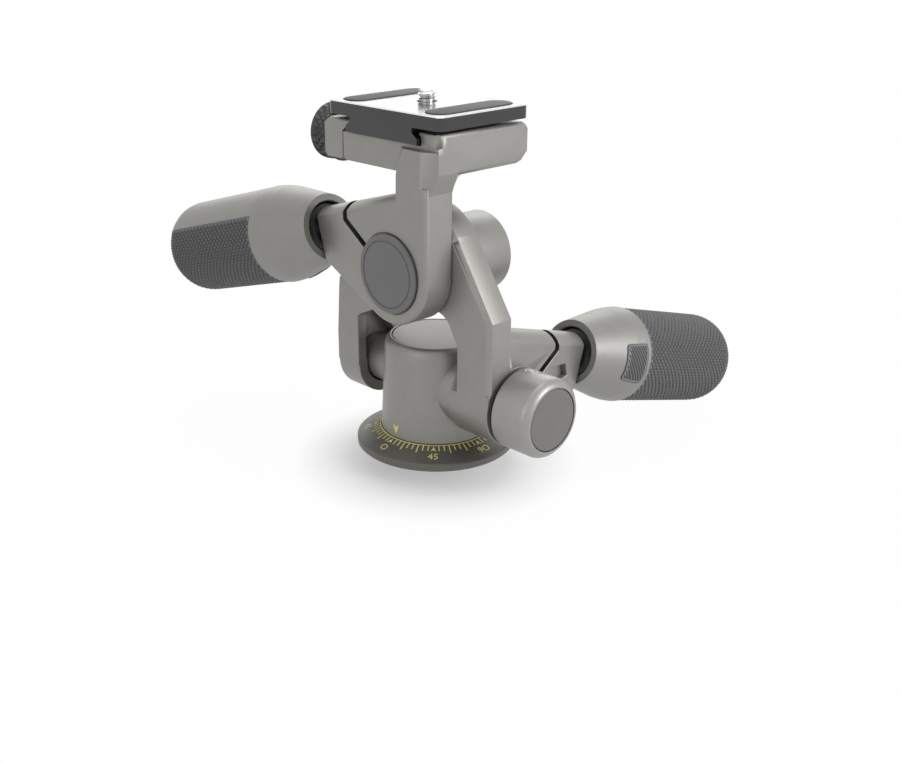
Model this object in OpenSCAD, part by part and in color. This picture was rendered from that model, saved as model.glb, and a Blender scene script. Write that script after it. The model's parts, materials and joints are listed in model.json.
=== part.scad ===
// Three way pan tilt head: a round base with a degree dial, a column that
// pans on it, a yoke that rolls about the column and an angled bracket that
// tilts on the yoke and carries a dovetail camera plate. Millimetres.
// Z is up from the tripod thread, -Y is the camera side, +Y the user side.

/* [Joint axes] */
// height of the roll axis above the base
roll_z = 25.2; // [24:0.2:28]
// height of the tilt axis above the base
tilt_z = 70.5; // [68:0.5:76]
// how far the tilt axis sits behind the pan axis
tilt_y = -4; // [-6:0.5:-2]
// downward slope of both handles in degrees
droop = 16; // [12:1:20]

/* [Base and column] */
// radius of the base disc
base_r = 29.3; // [28:0.1:36]
// height of the base disc's rim
rim_h = 3; // [2:0.1:3.5]
// height of the dial's inner edge
dial_h = 6.5; // [5:0.1:7]
// radius of the column at its foot
column_r = 20.2; // [19.8:0.1:22]
// radius of the column near its top
column_top_r = 18.8; // [18.4:0.1:19.6]
// radius of the pan shaft
spindle_r = 8; // [7:0.1:9]
// radius of the tripod socket
socket_r = 3.97; // [3.9:0.01:4.1]
// depth of the tripod socket
socket_depth = 12; // [10:0.5:14]

/* [Yoke] */
// front face of the yoke, towards the lens
yoke_front = 39.5; // [38:0.5:44]
// rear face of the yoke
yoke_rear = 39.3; // [38:0.5:44]
// width of the yoke's bars from side to side
yoke_w = 10.6; // [9:0.1:12]
// radius of the hub that carries the roll clamp
yoke_hub_r = 14.4; // [14.2:0.1:14.6]
// radius of the arch's top round the tilt shaft
yoke_top_r = 23; // [22:0.5:25]
// radius of the trunnion that the roll clamp grips
trunnion_r = 9; // [8.5:0.1:9.5]

/* [Bracket] */
// width of the bracket from side to side
bracket_w = 11.9; // [10:0.1:13]
// radius of the bracket's hub
bracket_hub_r = 18; // [17.5:0.1:19]
// radius of the tilt shaft
tilt_shaft_r = 9; // [8:0.1:9.5]
// depth of the upright bar from front to rear
bar_d = 14.5; // [12:0.5:16]

/* [Camera platform] */
// height of the platform's floor above the tilt axis
floor_up = 44.3; // [43:0.1:48]
// thickness of the platform's body
body_t = 9.7; // [8.5:0.1:11]
// length of the camera plate from front to rear
plate_l = 55.2; // [54:0.2:60]
// width of the camera plate from side to side
plate_w = 41.6; // [40:0.2:46]
// thickness of the camera plate's slab
plate_t = 4.6; // [3.5:0.1:6]
// half the dovetail's width at its foot
dove_foot = 17.5; // [17:0.1:17.6]
// half the dovetail's width at its neck
dove_neck = 15.2; // [14.5:0.1:15.6]
// height the camera screw stands above the plate
screw_up = 4; // [3:0.1:6]
// radius of the camera screw
screw_r = 3.175; // [3.1:0.005:3.25]

/* [Handles] */
// distance of a handle's axis above the joint it clamps
handle_up = 18.25; // [17.75:0.05:19]
// radius of a handle's grip
grip_r = 18.2; // [16:0.1:20]
// length of a handle from its mouth to its end
handle_l = 92; // [80:1:115]
// length of the metal cone at the mouth
cone_l = 26.3; // [24:0.1:30]
// radius of the cone at its mouth
mouth_r = 12; // [11.5:0.1:13]
// radius of the clamp rod
rod_r = 4; // [3:0.1:4.4]

/* [Fits] */
// radial clearance of a turning or sliding fit
run = 0.05; // [0.02:0.01:0.08]
// gap between neighbouring moving parts
gap = 0.3; // [0.3:0.05:0.4]

/* [Hidden] */
$fn = 96;
eps = 0.4;
// column
foot_z = dial_h + gap;
boss_r = 16.5;
boss_y = column_r + 0.4;
column_top = roll_z + boss_r + 0.1;
shoulder_z = column_top - 8.8;
cap_z = column_top - 3.1;
cap_r = 16.2;
nut_r = 10.6;
nut_t = 4;
thread_r = 6;
washer_t = 0.8;
ring_in = 12;
ring_out = 17;
ring_t = 2;
flange_r = 14;
flange_t = 3;
base_head_r = 2.2;
base_head_t = 1.6;
stem_r = 4;
stop_w = 2.6;
stop_t = 1.4;
shoe_r = 5;
trunnion_in = 15;
rear_trunnion_r = 8.6;
rear_seat = 13.6;
// yoke
yoke_x = -13.8;
front_back = boss_y + 3.9;
hub_back = boss_y + gap + 0.1;
ear_r = 13.4;
ear_front = 27.5;
ear_rim = 4;
ear_back_wall = 5.8;
ear_top = roll_z + 20;
shoulder_up = 12.7;
arch_in = 13.2;
edge = 1.6;
barrel_r = 14.4;
barrel_end = 19.2;
barrel_floor = 12;
shaft_head_w = 2;
end_cap_w = 3;
end_cap_in = 1.4;
tilt_washer_w = 4;
tilt_washer_t = 1.7;
pin_r = 6;
bush_r = 8;
back_cap_r = 10;
roll_mid = -32;
roll_arm_w = 13;
lock_y = yoke_front + 1.2;
lock_r = 14.2;
lock_l = 15.2;
lock_bore = 9;
lock_rim = 2;
lock_sink = 1.2;
// bracket
bracket_in = yoke_x - gap;
bracket_out = bracket_in - bracket_w;
tilt_mid = bracket_in - bracket_w / 2;
bar_front = tilt_y - bracket_hub_r;
bar_back = bar_front + bar_d;
retainer_r = 11.5;
retainer_t = 1.5;
bolt_r = 2.5;
bolt_l = 11;
sink = 2.8;
disc_r = 13.8;
disc_t = 1.4;
// clamps, measured along and across the handle's axis from the joint
arm_r = 7.65;
arm_end = 33;
arm_low = 6.3;
slot_s = 15.8;
slot_w = 1.2;
rod_s = 6;
mouth_s = arm_end + 1;
// camera platform
floor_z = tilt_z + floor_up;
body_z = floor_z - body_t;
plate_x = -4.2;
plate_y = 0.2;
dove_y = 1.2;
dove_z = floor_z + 0.4;
slab_z = floor_z + 5.8;
dove_top = slab_z - 1.8;
plate_top = slab_z + plate_t;
deck_x0 = bracket_out + 3;
deck_x1 = 18.8;
deck_front = -24.8;
jaw_back = 22;
jaw_d = 9.6;
jaw_y = jaw_back + gap;
jaw_top = floor_z + 4.2;
clamp_x = -12;
clamp_z = floor_z - 3.3;
clamp_screw_r = 2.5;
guide_r = 2;
guides = [0, 12];
knob_y = jaw_y + jaw_d + gap;
strip_l = 36;
strip_w = 7;
strip_t = 0.3;
strip_sink = 0.6;
strip_off = 21;
head_r = 7.9;
head_t = 2.4;
knob_r = 10;
knob_l = 10.2;
guide_in = 9;
disc_in = 0.6;
soft = 0.9;
fillet = 3;
flare_z = floor_z - 13;
dove_mid = dove_z + 2;
nose_up = 1;
nose_back = 1.5;
neck_r = 2.6;
relief = 0.6;
base_screw_r = 1.2;
// handles
strip_a = 26;
tongue_a = 25;
dome = 12;
bell = 7;
sleeve_t = 2;
mouth_deep = 12;
rod_in = 26;
tilt_strip = -33;
roll_strip = -91.5;

// ---- shared shapes ----

function vsub(a, b) = [a[0] - b[0], a[1] - b[1]];
function dir(a) = [cos(a), sin(a)];
// point where the line from p touches the circle round c, on one side
function touch(p, c, r, side) =
  let (v = vsub(c, p), d = norm(v), t = sqrt(d * d - r * r))
  p + t * dir(atan2(v[1], v[0]) + side * asin(r / d));
// point s along a handle's axis and n across it, seen from the joint
function axis_pt(s, n) = [s * cos(droop) + n * sin(droop),
  n * cos(droop) - s * sin(droop)];

// profile drawn in Y and Z, thickened along X from x0
module along_x(x0, t) {
  translate([x0, 0, 0])
    rotate([90, 0, 90])
      linear_extrude(t) children();
}

// profile drawn in X and Z, thickened along Y from y0
module along_y(y0, t) {
  translate([0, y0 + t, 0])
    rotate([90, 0, 0])
      linear_extrude(t) children();
}

module rod_x(x0, t, r, y, z) {
  translate([x0, y, z])
    rotate([0, 90, 0])
      cylinder(r = r, h = t);
}

module rod_y(y0, t, r, x, z) {
  translate([x, y0 + t, z])
    rotate([90, 0, 0])
      cylinder(r = r, h = t);
}

module ring(r_out, r_in, t) {
  linear_extrude(t)
    difference() {
      circle(r_out);
      circle(r_in);
    }
}

// revolved about the roll axis; the profile's height runs forwards from y0
module turned_front(y0) {
  translate([0, y0, roll_z])
    rotate([90, 0, 0])
      rotate_extrude() children();
}

// places a handle's own frame: axis along +Z, its upper side towards +X
module tilt_frame() {
  translate([tilt_mid, tilt_y, tilt_z])
    rotate([-90 - droop, 0, 0])
      translate([0, -handle_up, 0])
        rotate([0, 0, -90]) children();
}

module roll_frame() {
  translate([0, roll_mid, roll_z])
    rotate([0, 90 + droop, 0])
      translate([-handle_up, 0, 0])
        rotate([0, 0, 180]) children();
}

// outline of one pinch clamp about its joint: arm, throat and hub
module clamp_outline(hub_r, back) {
  low = axis_pt(arm_end, arm_low);
  top_n = handle_up + arm_r + 1;
  polygon([
    touch(low, [0, 0], hub_r - 0.1, 1),
    low,
    axis_pt(arm_end, top_n),
    [back, (top_n - back * sin(droop)) / cos(droop)],
    [back, 0]
  ]);
}

// saw cut of one pinch clamp, from the top of the arm to the bore
module clamp_slot() {
  h = slot_w / 2;
  a = axis_pt(slot_s, handle_up + arm_r + 2);
  b = axis_pt(slot_s + 1.8, handle_up + 2.2);
  c = [6.4, 3.2];
  n = h * dir(atan2(b[1] - c[1], b[0] - c[0]) + 90);
  polygon([a - [h, 0], b + [-h, h / 2], c + n, c - n, b + [h, -h / 2],
    a + [h, 0]]);
}

// what the arm loses where its upper side is round about the handle's axis
module arm_rounding(w) {
  translate([0, 0, -arm_end])
    linear_extrude(2 * arm_end + 2)
      difference() {
        translate([0, -w / 2 - 1])
          square([arm_r + 3, w + 2]);
        circle(arm_r);
      }
}

// clamp rod's bore in the arm, in a handle's frame
module rod_bore() {
  translate([0, 0, rod_s - 1])
    cylinder(r = rod_r + run, h = arm_end);
}

module bevel_prism(l, e) {
  translate([0, 0, -0.1])
    linear_extrude(l + 0.2)
      polygon([[-eps, -eps], [e + eps, -eps], [-eps, e + eps]]);
}

// bevel on the left face's edge, from one point in Y and Z to another
module edge_bevel(x0, p, q, e) {
  translate([x0, p[0], p[1]])
    rotate([atan2(q[1] - p[1], q[0] - p[0]) - 90, 0, 0])
      bevel_prism(norm(vsub(q, p)), e);
}

// the same bevel round part of a circle about c
module arc_bevel(x0, c, r, e, a0, a1) {
  translate([x0, c[0], c[1]])
    rotate([0, 90, 0])
      rotate([0, 0, a0])
        rotate_extrude(angle = a1 - a0)
          polygon([[r - e - eps, -eps], [r + 1, -eps], [r + 1, e + 1]]);
}

// ---- base ----

module base_disc() {
  color([0.40, 0.39, 0.38])
    difference() {
      rotate_extrude()
        polygon([[spindle_r, 0], [base_r - 0.6, 0], [base_r, 0.6],
          [base_r, rim_h - 0.4], [base_r - 0.4, rim_h],
          [column_r + gap, dial_h], [spindle_r, dial_h]]);
      translate([0, 0, -eps])
        cylinder(r = flange_r, h = flange_t + eps);
      base_screw_places()
        translate([0, 0, flange_t - eps])
          cylinder(r = base_screw_r, h = 2 + eps);
    }
}

module base_screw_places() {
  for (a = [30, 150, 270])
    rotate([0, 0, a])
      translate([11, 0, 0]) children();
}

module pan_spindle() {
  top = shoulder_z + washer_t + gap;
  color([0.62, 0.62, 0.63])
    difference() {
      rotate_extrude()
        polygon([[0, 0], [flange_r, 0], [flange_r, flange_t],
          [spindle_r, flange_t], [spindle_r, top], [thread_r, top],
          [thread_r, top + nut_t + 0.2], [0, top + nut_t + 0.2]]);
      translate([0, 0, -eps])
        cylinder(r = socket_r, h = socket_depth + eps);
      base_screw_places() {
        cylinder(r = base_screw_r, h = flange_t + eps);
        translate([0, 0, -eps])
          cylinder(r = base_head_r, h = base_head_t + 0.2 + eps);
      }
    }
}

module base_screws() {
  color([0.3, 0.3, 0.31])
    base_screw_places() {
      difference() {
        translate([0, 0, 0.2])
          cylinder(r = base_head_r, h = base_head_t);
        translate([0, 0, -eps])
          cylinder(r = 1, h = 1 + eps, $fn = 6);
      }
      translate([0, 0, 1.7])
        cylinder(r = base_screw_r, h = 3.3);
    }
}

module pan_nut() {
  color([0.5, 0.5, 0.5])
    translate([0, 0, shoulder_z + washer_t + gap])
      linear_extrude(nut_t)
        difference() {
          circle(nut_r, $fn = 6);
          circle(thread_r);
        }
}

// ---- panning column ----

module column() {
  color([0.66, 0.65, 0.62])
    difference() {
      union() {
        rotate_extrude()
          polygon([[0, foot_z], [column_r - 0.3, foot_z],
            [column_r, foot_z + 0.3], [column_top_r, column_top - 4],
            [column_top_r - 0.3, column_top - 2.4],
            [column_top_r - 0.9, column_top - 1.1],
            [column_top_r - 1.6, column_top - 0.4],
            [column_top_r - 2.2, column_top], [0, column_top]]);
        turned_front(0)
          polygon([[0, 0], [boss_r, 0], [boss_r, boss_y - 1.6],
            [boss_r - 0.5, boss_y - 0.5], [boss_r - 1.6, boss_y],
            [0, boss_y]]);
      }
      translate([0, 0, foot_z - eps])
        cylinder(r = spindle_r + run, h = shoulder_z);
      translate([0, 0, foot_z - eps])
        ring(ring_out, ring_in, ring_t + eps);
      translate([0, 0, shoulder_z])
        cylinder(r = nut_r + 0.6, h = column_top);
      translate([0, 0, cap_z])
        cylinder(r = cap_r, h = column_top);
      rod_y(-boss_y - eps, boss_y - trunnion_in + eps, trunnion_r, 0, roll_z);
      rod_y(-trunnion_in - eps, trunnion_in, shoe_r, 0, roll_z);
      rod_y(rear_seat, column_r, rear_trunnion_r, 0, roll_z);
    }
}

module column_cap() {
  color([0.70, 0.68, 0.66])
    translate([0, 0, cap_z])
      rotate_extrude()
        polygon([[0, 0], [cap_r - 0.3, 0], [cap_r - 0.3, 2.7],
          [cap_r - 0.6, 3], [0, 3]]);
}

module pan_friction_ring() {
  color([0.85, 0.84, 0.80])
    translate([0, 0, foot_z])
      ring(ring_out, ring_in, ring_t);
}

module pan_washer() {
  color([0.72, 0.72, 0.72])
    translate([0, 0, shoulder_z])
      ring(nut_r, spindle_r + gap, washer_t);
}

module front_trunnion() {
  color([0.68, 0.68, 0.69])
    difference() {
      rod_y(-yoke_front + 0.2, yoke_front - 0.2 - trunnion_in, trunnion_r,
        0, roll_z);
      rod_y(-yoke_front - 1, yoke_front, stem_r + run, 0, roll_z);
    }
}

module rear_trunnion() {
  step = yoke_rear - ear_back_wall - gap - rear_seat;
  color([0.68, 0.68, 0.69])
    translate([0, rear_seat, roll_z])
      rotate([-90, 0, 0])
        rotate_extrude()
          polygon([[0, 0], [rear_trunnion_r, 0], [rear_trunnion_r, step],
            [pin_r, step], [pin_r, yoke_rear - 1.3 - rear_seat],
            [0, yoke_rear - 1.3 - rear_seat]]);
}

module roll_stop_ring() {
  color([0.35, 0.35, 0.36])
    translate([0, -yoke_front + 1.7, roll_z])
      rotate([90, 0, 0])
        ring(trunnion_r + stop_w, trunnion_r, stop_t);
}

module pan_brake_shoe() {
  color([0.78, 0.62, 0.30])
    rod_y(-trunnion_in + 0.8, trunnion_in - 0.8 - spindle_r - 0.4,
      shoe_r - run, 0, roll_z);
}

// ---- pan lock ----

module pan_lock_knob() {
  color([0.66, 0.66, 0.65])
    turned_front(-lock_y)
      polygon([[stem_r, 0], [lock_r - 0.8, 0], [lock_r, 0.8],
        [lock_r, lock_l - 2.4], [lock_r - 0.5, lock_l - 1.1],
        [lock_r - 1.5, lock_l], [lock_r - lock_rim, lock_l],
        [lock_r - lock_rim, lock_l - lock_sink], [0, lock_l - lock_sink],
        [0, lock_bore], [stem_r, lock_bore]]);
}

module pan_knob_disc() {
  color([0.50, 0.49, 0.48])
    turned_front(-lock_y - lock_l + lock_sink)
      polygon([[0, 0], [lock_r - lock_rim - 0.25, 0],
        [lock_r - lock_rim - 0.25, 0.9], [lock_r - lock_rim - 0.45, 1.1],
        [0, 1.1]]);
}

module pan_lock_stem() {
  color([0.6, 0.6, 0.6])
    rod_y(-lock_y - lock_bore, lock_y + lock_bore - trunnion_in + 0.5, stem_r,
      0, roll_z);
}

// ---- yoke ----

front_shoulder = [-yoke_front, tilt_z - shoulder_up];
rear_shoulder = [yoke_rear - 1.8, tilt_z - shoulder_up];
tilt_c = [tilt_y, tilt_z];
front_touch = touch(front_shoulder, tilt_c, yoke_top_r - 0.1, 1);
rear_touch = touch(rear_shoulder, tilt_c, yoke_top_r - 0.1, -1);

// side outline of the arch: front bar, crown and rear ear
module arch_outline() {
  under = tilt_z - arch_in;
  difference() {
    union() {
      translate(tilt_c)
        circle(yoke_top_r);
      polygon([[-yoke_front, roll_z], front_shoulder, front_touch, tilt_c,
        rear_touch, rear_shoulder, [yoke_rear, ear_top - 12],
        [yoke_rear, roll_z]]);
    }
    polygon([[-front_back, roll_z - 1], [-front_back, ear_top + 1.6],
      [-19.7, under - 2.8], [-17.5, under - 1.3], [-14.4, under - 0.2],
      [-13, under], [2, under], [8, under - 1.8],
      [20.7, ear_top + 3.4], [ear_front - 1.3, ear_top + 0.8],
      [ear_front, ear_top - 0.4], [ear_front, roll_z - 1]]);
  }
}

// bevel along the outer edge of the arch's left side
module arch_bevel() {
  up = vsub(front_touch, front_shoulder);
  back = vsub(rear_touch, rear_shoulder);
  edge_bevel(yoke_x, [-yoke_front, roll_z + 7], front_shoulder, edge);
  edge_bevel(yoke_x, front_shoulder, front_touch, edge);
  arc_bevel(yoke_x, tilt_c, yoke_top_r, edge, atan2(back[1], back[0]),
    180 + atan2(up[1], up[0]));
}

// rear ear seen from behind: bar, web and round foot, drawn in by off
module ear_outline(off) {
  c = [0, roll_z];
  r = ear_r - off;
  p = [yoke_x + yoke_w - off, tilt_z - arch_in - 3.5];
  translate(c)
    circle(r);
  polygon([[off - ear_r + 0.1, roll_z], [yoke_x + off, roll_z + 4],
    [yoke_x + off, p[1]], p, touch(p, c, r - 0.1, 1), c]);
}

// hollow of the rear ear, a rim's width inside its outline
module ear_recess() {
  intersection() {
    ear_outline(ear_rim);
    translate([-ear_r, 0])
      square([2 * ear_r, ear_top]);
  }
}

module roll_clamp_arm() {
  difference() {
    along_y(roll_mid - roll_arm_w / 2, roll_arm_w)
      translate([0, roll_z])
        clamp_outline(yoke_hub_r, yoke_x + yoke_w - 2);
    roll_frame()
      arm_rounding(roll_arm_w);
    // shallow pocket in the front of the lower jaw
    along_y(roll_mid - roll_arm_w / 2 - eps, 2.4 + eps)
      translate([0, roll_z])
        polygon([[19.5, 8.6], [27.5, 8.2], [28.5, 3.4], [19, 1.2]]);
  }
}

module yoke() {
  color([0.62, 0.61, 0.59])
    difference() {
      union() {
        difference() {
          along_x(yoke_x, yoke_w)
            arch_outline();
          arch_bevel();
        }
        rod_y(-yoke_front, yoke_front - hub_back, yoke_hub_r, 0, roll_z);
        along_y(ear_front, yoke_rear - ear_front)
          ear_outline(0);
        rod_x(yoke_x + 1, barrel_end - yoke_x - 1, barrel_r, tilt_y, tilt_z);
        roll_clamp_arm();
      }
      // bore, stop ring and saw cut of the roll clamp
      rod_y(-yoke_front - 1, yoke_front, trunnion_r + run, 0, roll_z);
      rod_y(-yoke_front - eps, 2 + eps, trunnion_r + stop_w + 0.4, 0, roll_z);
      along_y(-yoke_front - eps, yoke_front - hub_back + 2 * eps)
        translate([0, roll_z])
          clamp_slot();
      roll_frame()
        rod_bore();
      // rear ear
      along_y(ear_front - eps, yoke_rear - ear_back_wall - ear_front + eps)
        ear_recess();
      rod_y(ear_front, yoke_rear, bush_r, 0, roll_z);
      rod_y(yoke_rear - 1, 2, back_cap_r, 0, roll_z);
      // tilt barrel
      rod_x(yoke_x - 1, barrel_floor - yoke_x + 2, tilt_shaft_r, tilt_y,
        tilt_z);
      rod_x(yoke_x - eps, tilt_washer_t + eps, tilt_shaft_r + tilt_washer_w,
        tilt_y, tilt_z);
      rod_x(barrel_floor, barrel_end, tilt_shaft_r + shaft_head_w, tilt_y,
        tilt_z);
      rod_x(barrel_end - end_cap_in, 3, tilt_shaft_r + end_cap_w, tilt_y,
        tilt_z);
    }
}

module rear_bush() {
  color([0.80, 0.66, 0.36])
    translate([0, yoke_rear - ear_back_wall, roll_z])
      rotate([-90, 0, 0])
        ring(bush_r, pin_r + run, ear_back_wall - 1);
}

module rear_cap() {
  color([0.50, 0.49, 0.48])
    rod_y(yoke_rear - 1, 1, back_cap_r, 0, roll_z);
}

shaft_x = bracket_out + sink - gap;

module tilt_shaft() {
  color([0.68, 0.68, 0.69])
    difference() {
      union() {
        rod_x(shaft_x, barrel_floor - shaft_x, tilt_shaft_r, tilt_y, tilt_z);
        rod_x(barrel_floor, 2, tilt_shaft_r + shaft_head_w, tilt_y, tilt_z);
      }
      rod_x(shaft_x - eps, bolt_l + 1 + eps, bolt_r, tilt_y, tilt_z);
    }
}

module tilt_retainer() {
  color([0.35, 0.35, 0.36]) {
    rod_x(shaft_x - retainer_t, retainer_t, retainer_r, tilt_y, tilt_z);
    rod_x(shaft_x - retainer_t / 2, bolt_l, bolt_r, tilt_y, tilt_z);
  }
}

module tilt_washer() {
  color([0.85, 0.84, 0.80])
    translate([yoke_x, tilt_y, tilt_z])
      rotate([0, 90, 0])
        ring(tilt_shaft_r + tilt_washer_w, tilt_shaft_r, tilt_washer_t);
}

module tilt_end_cap() {
  color([0.50, 0.49, 0.48])
    rod_x(barrel_end - end_cap_in, end_cap_in - 0.2, tilt_shaft_r + end_cap_w,
      tilt_y, tilt_z);
}

// ---- handles, drawn along +Z from the joint, upper side towards +X ----

// rounded far end of a grip, from its side to its flat top
function dome_pts(r, z, c) =
  [for (i = [0 : 6]) [r - c, z - c] + c * dir(15 * i)];
function flip(v) = [for (i = [len(v) - 1 : -1 : 0]) v[i]];
// radius of the metal cone before the grip
function cone_r(s) = mouth_r
  + (grip_r - 1 - mouth_r) * (s - mouth_s) / (cone_l - bell);
// side of the cone where the rubber tongue lies, raised by h
function tongue_pts(h) = [[cone_r(tongue_0) + h, tongue_0],
  [grip_r - 1 + h, neck_s - bell], [grip_r - 0.3 + h, neck_s - 3],
  [grip_r - 0.2 + h, neck_s - 2]];
neck_s = mouth_s + cone_l;
grip_end = mouth_s + handle_l;
inner_r = grip_r - sleeve_t;
tongue_0 = neck_s - 10.3;

module tongue(mid, h) {
  rotate([0, 0, mid - tongue_a])
    rotate_extrude(angle = 2 * tongue_a)
      polygon(concat(tongue_pts(h), flip(tongue_pts(-1))));
}

module handle_core(mid) {
  difference() {
    rotate_extrude()
      polygon(concat([[0, mouth_s], [mouth_r, mouth_s],
        [grip_r - 1, neck_s - bell], [grip_r - 0.3, neck_s - 3],
        [grip_r, neck_s]], dome_pts(grip_r, grip_end, dome),
        [[0, grip_end]]));
    // everything outside the metal strip is sunk for the rubber
    rotate([0, 0, mid + strip_a])
      rotate_extrude(angle = 360 - 2 * strip_a)
        polygon(concat([[grip_r + 1, neck_s], [grip_r + 1, grip_end + 1],
          [grip_r - dome, grip_end + 1]],
          flip(dome_pts(inner_r, grip_end - sleeve_t, dome - sleeve_t)),
          [[inner_r, neck_s]]));
    translate([0, 0, mouth_s - eps])
      cylinder(r = mouth_r - 1.6, h = mouth_deep + eps);
    translate([0, 0, mouth_s])
      cylinder(r = rod_r, h = rod_in);
    tongue(mid + 180, 1);
  }
}

module handle_sleeve(mid) {
  rotate([0, 0, mid + strip_a])
    rotate_extrude(angle = 360 - 2 * strip_a)
      polygon(concat([[inner_r, neck_s + 0.5], [grip_r - 0.15, neck_s + 0.5]],
        dome_pts(grip_r - 0.15, grip_end, dome - 0.15),
        flip(dome_pts(inner_r, grip_end - sleeve_t, dome - sleeve_t))));
}

module clamp_rod() {
  translate([0, 0, rod_s])
    cylinder(r = rod_r, h = mouth_s + rod_in - rod_s);
}

module clamp_collar() {
  translate([0, 0, mouth_s + 1.2])
    ring(mouth_r - 2.7, rod_r, mouth_deep - 1.2);
}

module roll_handle_core() {
  color([0.66, 0.66, 0.64])
    roll_frame()
      handle_core(roll_strip);
}

module roll_handle_sleeve() {
  color([0.40, 0.40, 0.42])
    roll_frame()
      handle_sleeve(roll_strip);
}

module roll_handle_patch() {
  color([0.40, 0.40, 0.42])
    roll_frame()
      tongue(roll_strip + 180, 0.1);
}

module roll_clamp_rod() {
  color([0.7, 0.7, 0.7])
    roll_frame()
      clamp_rod();
}

module roll_clamp_collar() {
  color([0.6, 0.6, 0.58])
    roll_frame()
      clamp_collar();
}

module tilt_handle_core() {
  color([0.66, 0.66, 0.64])
    tilt_frame()
      handle_core(tilt_strip);
}

module tilt_handle_sleeve() {
  color([0.40, 0.40, 0.42])
    tilt_frame()
      handle_sleeve(tilt_strip);
}

module tilt_handle_patch() {
  color([0.40, 0.40, 0.42])
    tilt_frame()
      tongue(tilt_strip + 180, 0.1);
}

module tilt_clamp_rod() {
  color([0.7, 0.7, 0.7])
    tilt_frame()
      clamp_rod();
}

module tilt_clamp_collar() {
  color([0.6, 0.6, 0.58])
    tilt_frame()
      clamp_collar();
}

// ---- bracket ----

module bracket_arm() {
  difference() {
    along_x(bracket_out, bracket_w)
      translate(tilt_c)
        clamp_outline(bracket_hub_r, bar_back - tilt_y);
    tilt_frame()
      arm_rounding(bracket_w);
  }
}

module bracket_bevels() {
  low = axis_pt(arm_end, arm_low);
  t = touch(low, [0, 0], bracket_hub_r, 1);
  a = atan2(low[1] - t[1], low[0] - t[0]);
  edge_bevel(bracket_out, tilt_c + low, tilt_c + t, soft);
  arc_bevel(bracket_out, tilt_c, bracket_hub_r, soft, -90, a);
  edge_bevel(bracket_out, [bar_front, tilt_z], [bar_front, flare_z], soft);
}

// upright bar, widening forwards below the platform
module bar_outline() {
  polygon([[bar_front, tilt_z], [bar_front, flare_z],
    [deck_front + 0.4, floor_z - 1.8], [deck_front + 1, floor_z - 1.2],
    [bar_back, floor_z - 1.2], [bar_back, tilt_z]]);
}

// cross-section of the platform with its fixed jaw, seen from the left
module deck_outline() {
  jaw_in = dove_y - dove_foot - gap;
  polygon([[deck_front + 1.2, body_z], [jaw_back - 1, body_z],
    [jaw_back, body_z + 1], [jaw_back, floor_z], [jaw_in, floor_z],
    [jaw_in, dove_mid + 0.2], [jaw_in + 1.2, dove_mid + 1.3],
    [jaw_in + 1.2, jaw_top], [deck_front + 0.9, jaw_top],
    [deck_front, jaw_top - 0.9], [deck_front, body_z + 1.2]]);
}

// outline of the platform seen from the front, bevelled at its right end
module deck_front_outline(top) {
  polygon([[deck_x0, body_z - 1], [deck_x1 - 5, body_z - 1],
    [deck_x1, body_z + 4], [deck_x1, top - 2.4], [deck_x1 - 2.4, top + eps],
    [deck_x0 + 0.8, top + eps], [deck_x0, top - 0.8]]);
}

module deck() {
  difference() {
    intersection() {
      along_x(deck_x0, deck_x1 - deck_x0)
        deck_outline();
      along_y(deck_front - 1, jaw_back - deck_front + 2)
        deck_front_outline(jaw_top);
    }
    // round corner beside the bar
    translate([deck_x0, deck_front, floor_z])
      linear_extrude(jaw_top)
        difference() {
          translate([-eps, -eps])
            square(3.5 + eps);
          translate([3.5, 3.5])
            circle(3.5);
        }
  }
}

module bracket() {
  color([0.62, 0.61, 0.59])
    difference() {
      union() {
        rod_x(bracket_out, bracket_w, bracket_hub_r, tilt_y, tilt_z);
        along_x(bracket_out, bracket_w)
          bar_outline();
        bracket_arm();
        deck();
        // fillet between the bar and the platform's underside
        along_y(bar_front - 1.4, bar_d + 1.4)
          translate([bracket_in, body_z])
            difference() {
              translate([-1, -fillet])
                square([fillet + 1, fillet + 1]);
              translate([fillet, -fillet])
                circle(fillet);
            }
      }
      bracket_bevels();
      // facet on the bar's outer front corner
      translate([bracket_out, bar_front, flare_z])
        linear_extrude(floor_z - 1.2 - flare_z + eps)
          polygon([[-eps, 3.4], [-eps, -4], [3, -4], [3, -3]]);
      // bore, retainer recess, cover recess and saw cut
      rod_x(bracket_out - 1, bracket_w + 2, tilt_shaft_r + run, tilt_y, tilt_z);
      rod_x(bracket_out - 1, sink + 1, retainer_r + 0.5, tilt_y, tilt_z);
      rod_x(bracket_out - 1, disc_in + 1, disc_r + 0.25, tilt_y, tilt_z);
      along_x(bracket_out - eps, bracket_w + 2 * eps)
        translate(tilt_c)
          clamp_slot();
      tilt_frame()
        rod_bore();
      // jaw screw and guide pins
      rod_y(jaw_back - 13, 14, clamp_screw_r + run, clamp_x, clamp_z);
      for (x = guides)
        rod_y(jaw_back - guide_in, guide_in + 1, guide_r, x, clamp_z);
    }
}

module hub_disc() {
  color([0.42, 0.41, 0.41])
    translate([bracket_out + disc_in, tilt_y, tilt_z])
      rotate([0, -90, 0])
        rotate_extrude()
          polygon([[0, 0], [disc_r, 0], [disc_r, disc_in + disc_t - 0.7],
            [disc_r - 1.2, disc_in + disc_t], [0, disc_in + disc_t]]);
}

module jaw_guide_pins() {
  color([0.7, 0.7, 0.7])
    for (x = guides)
      rod_y(jaw_back - guide_in, guide_in + jaw_d - 2, guide_r, x, clamp_z);
}

// ---- plate clamp ----

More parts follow.
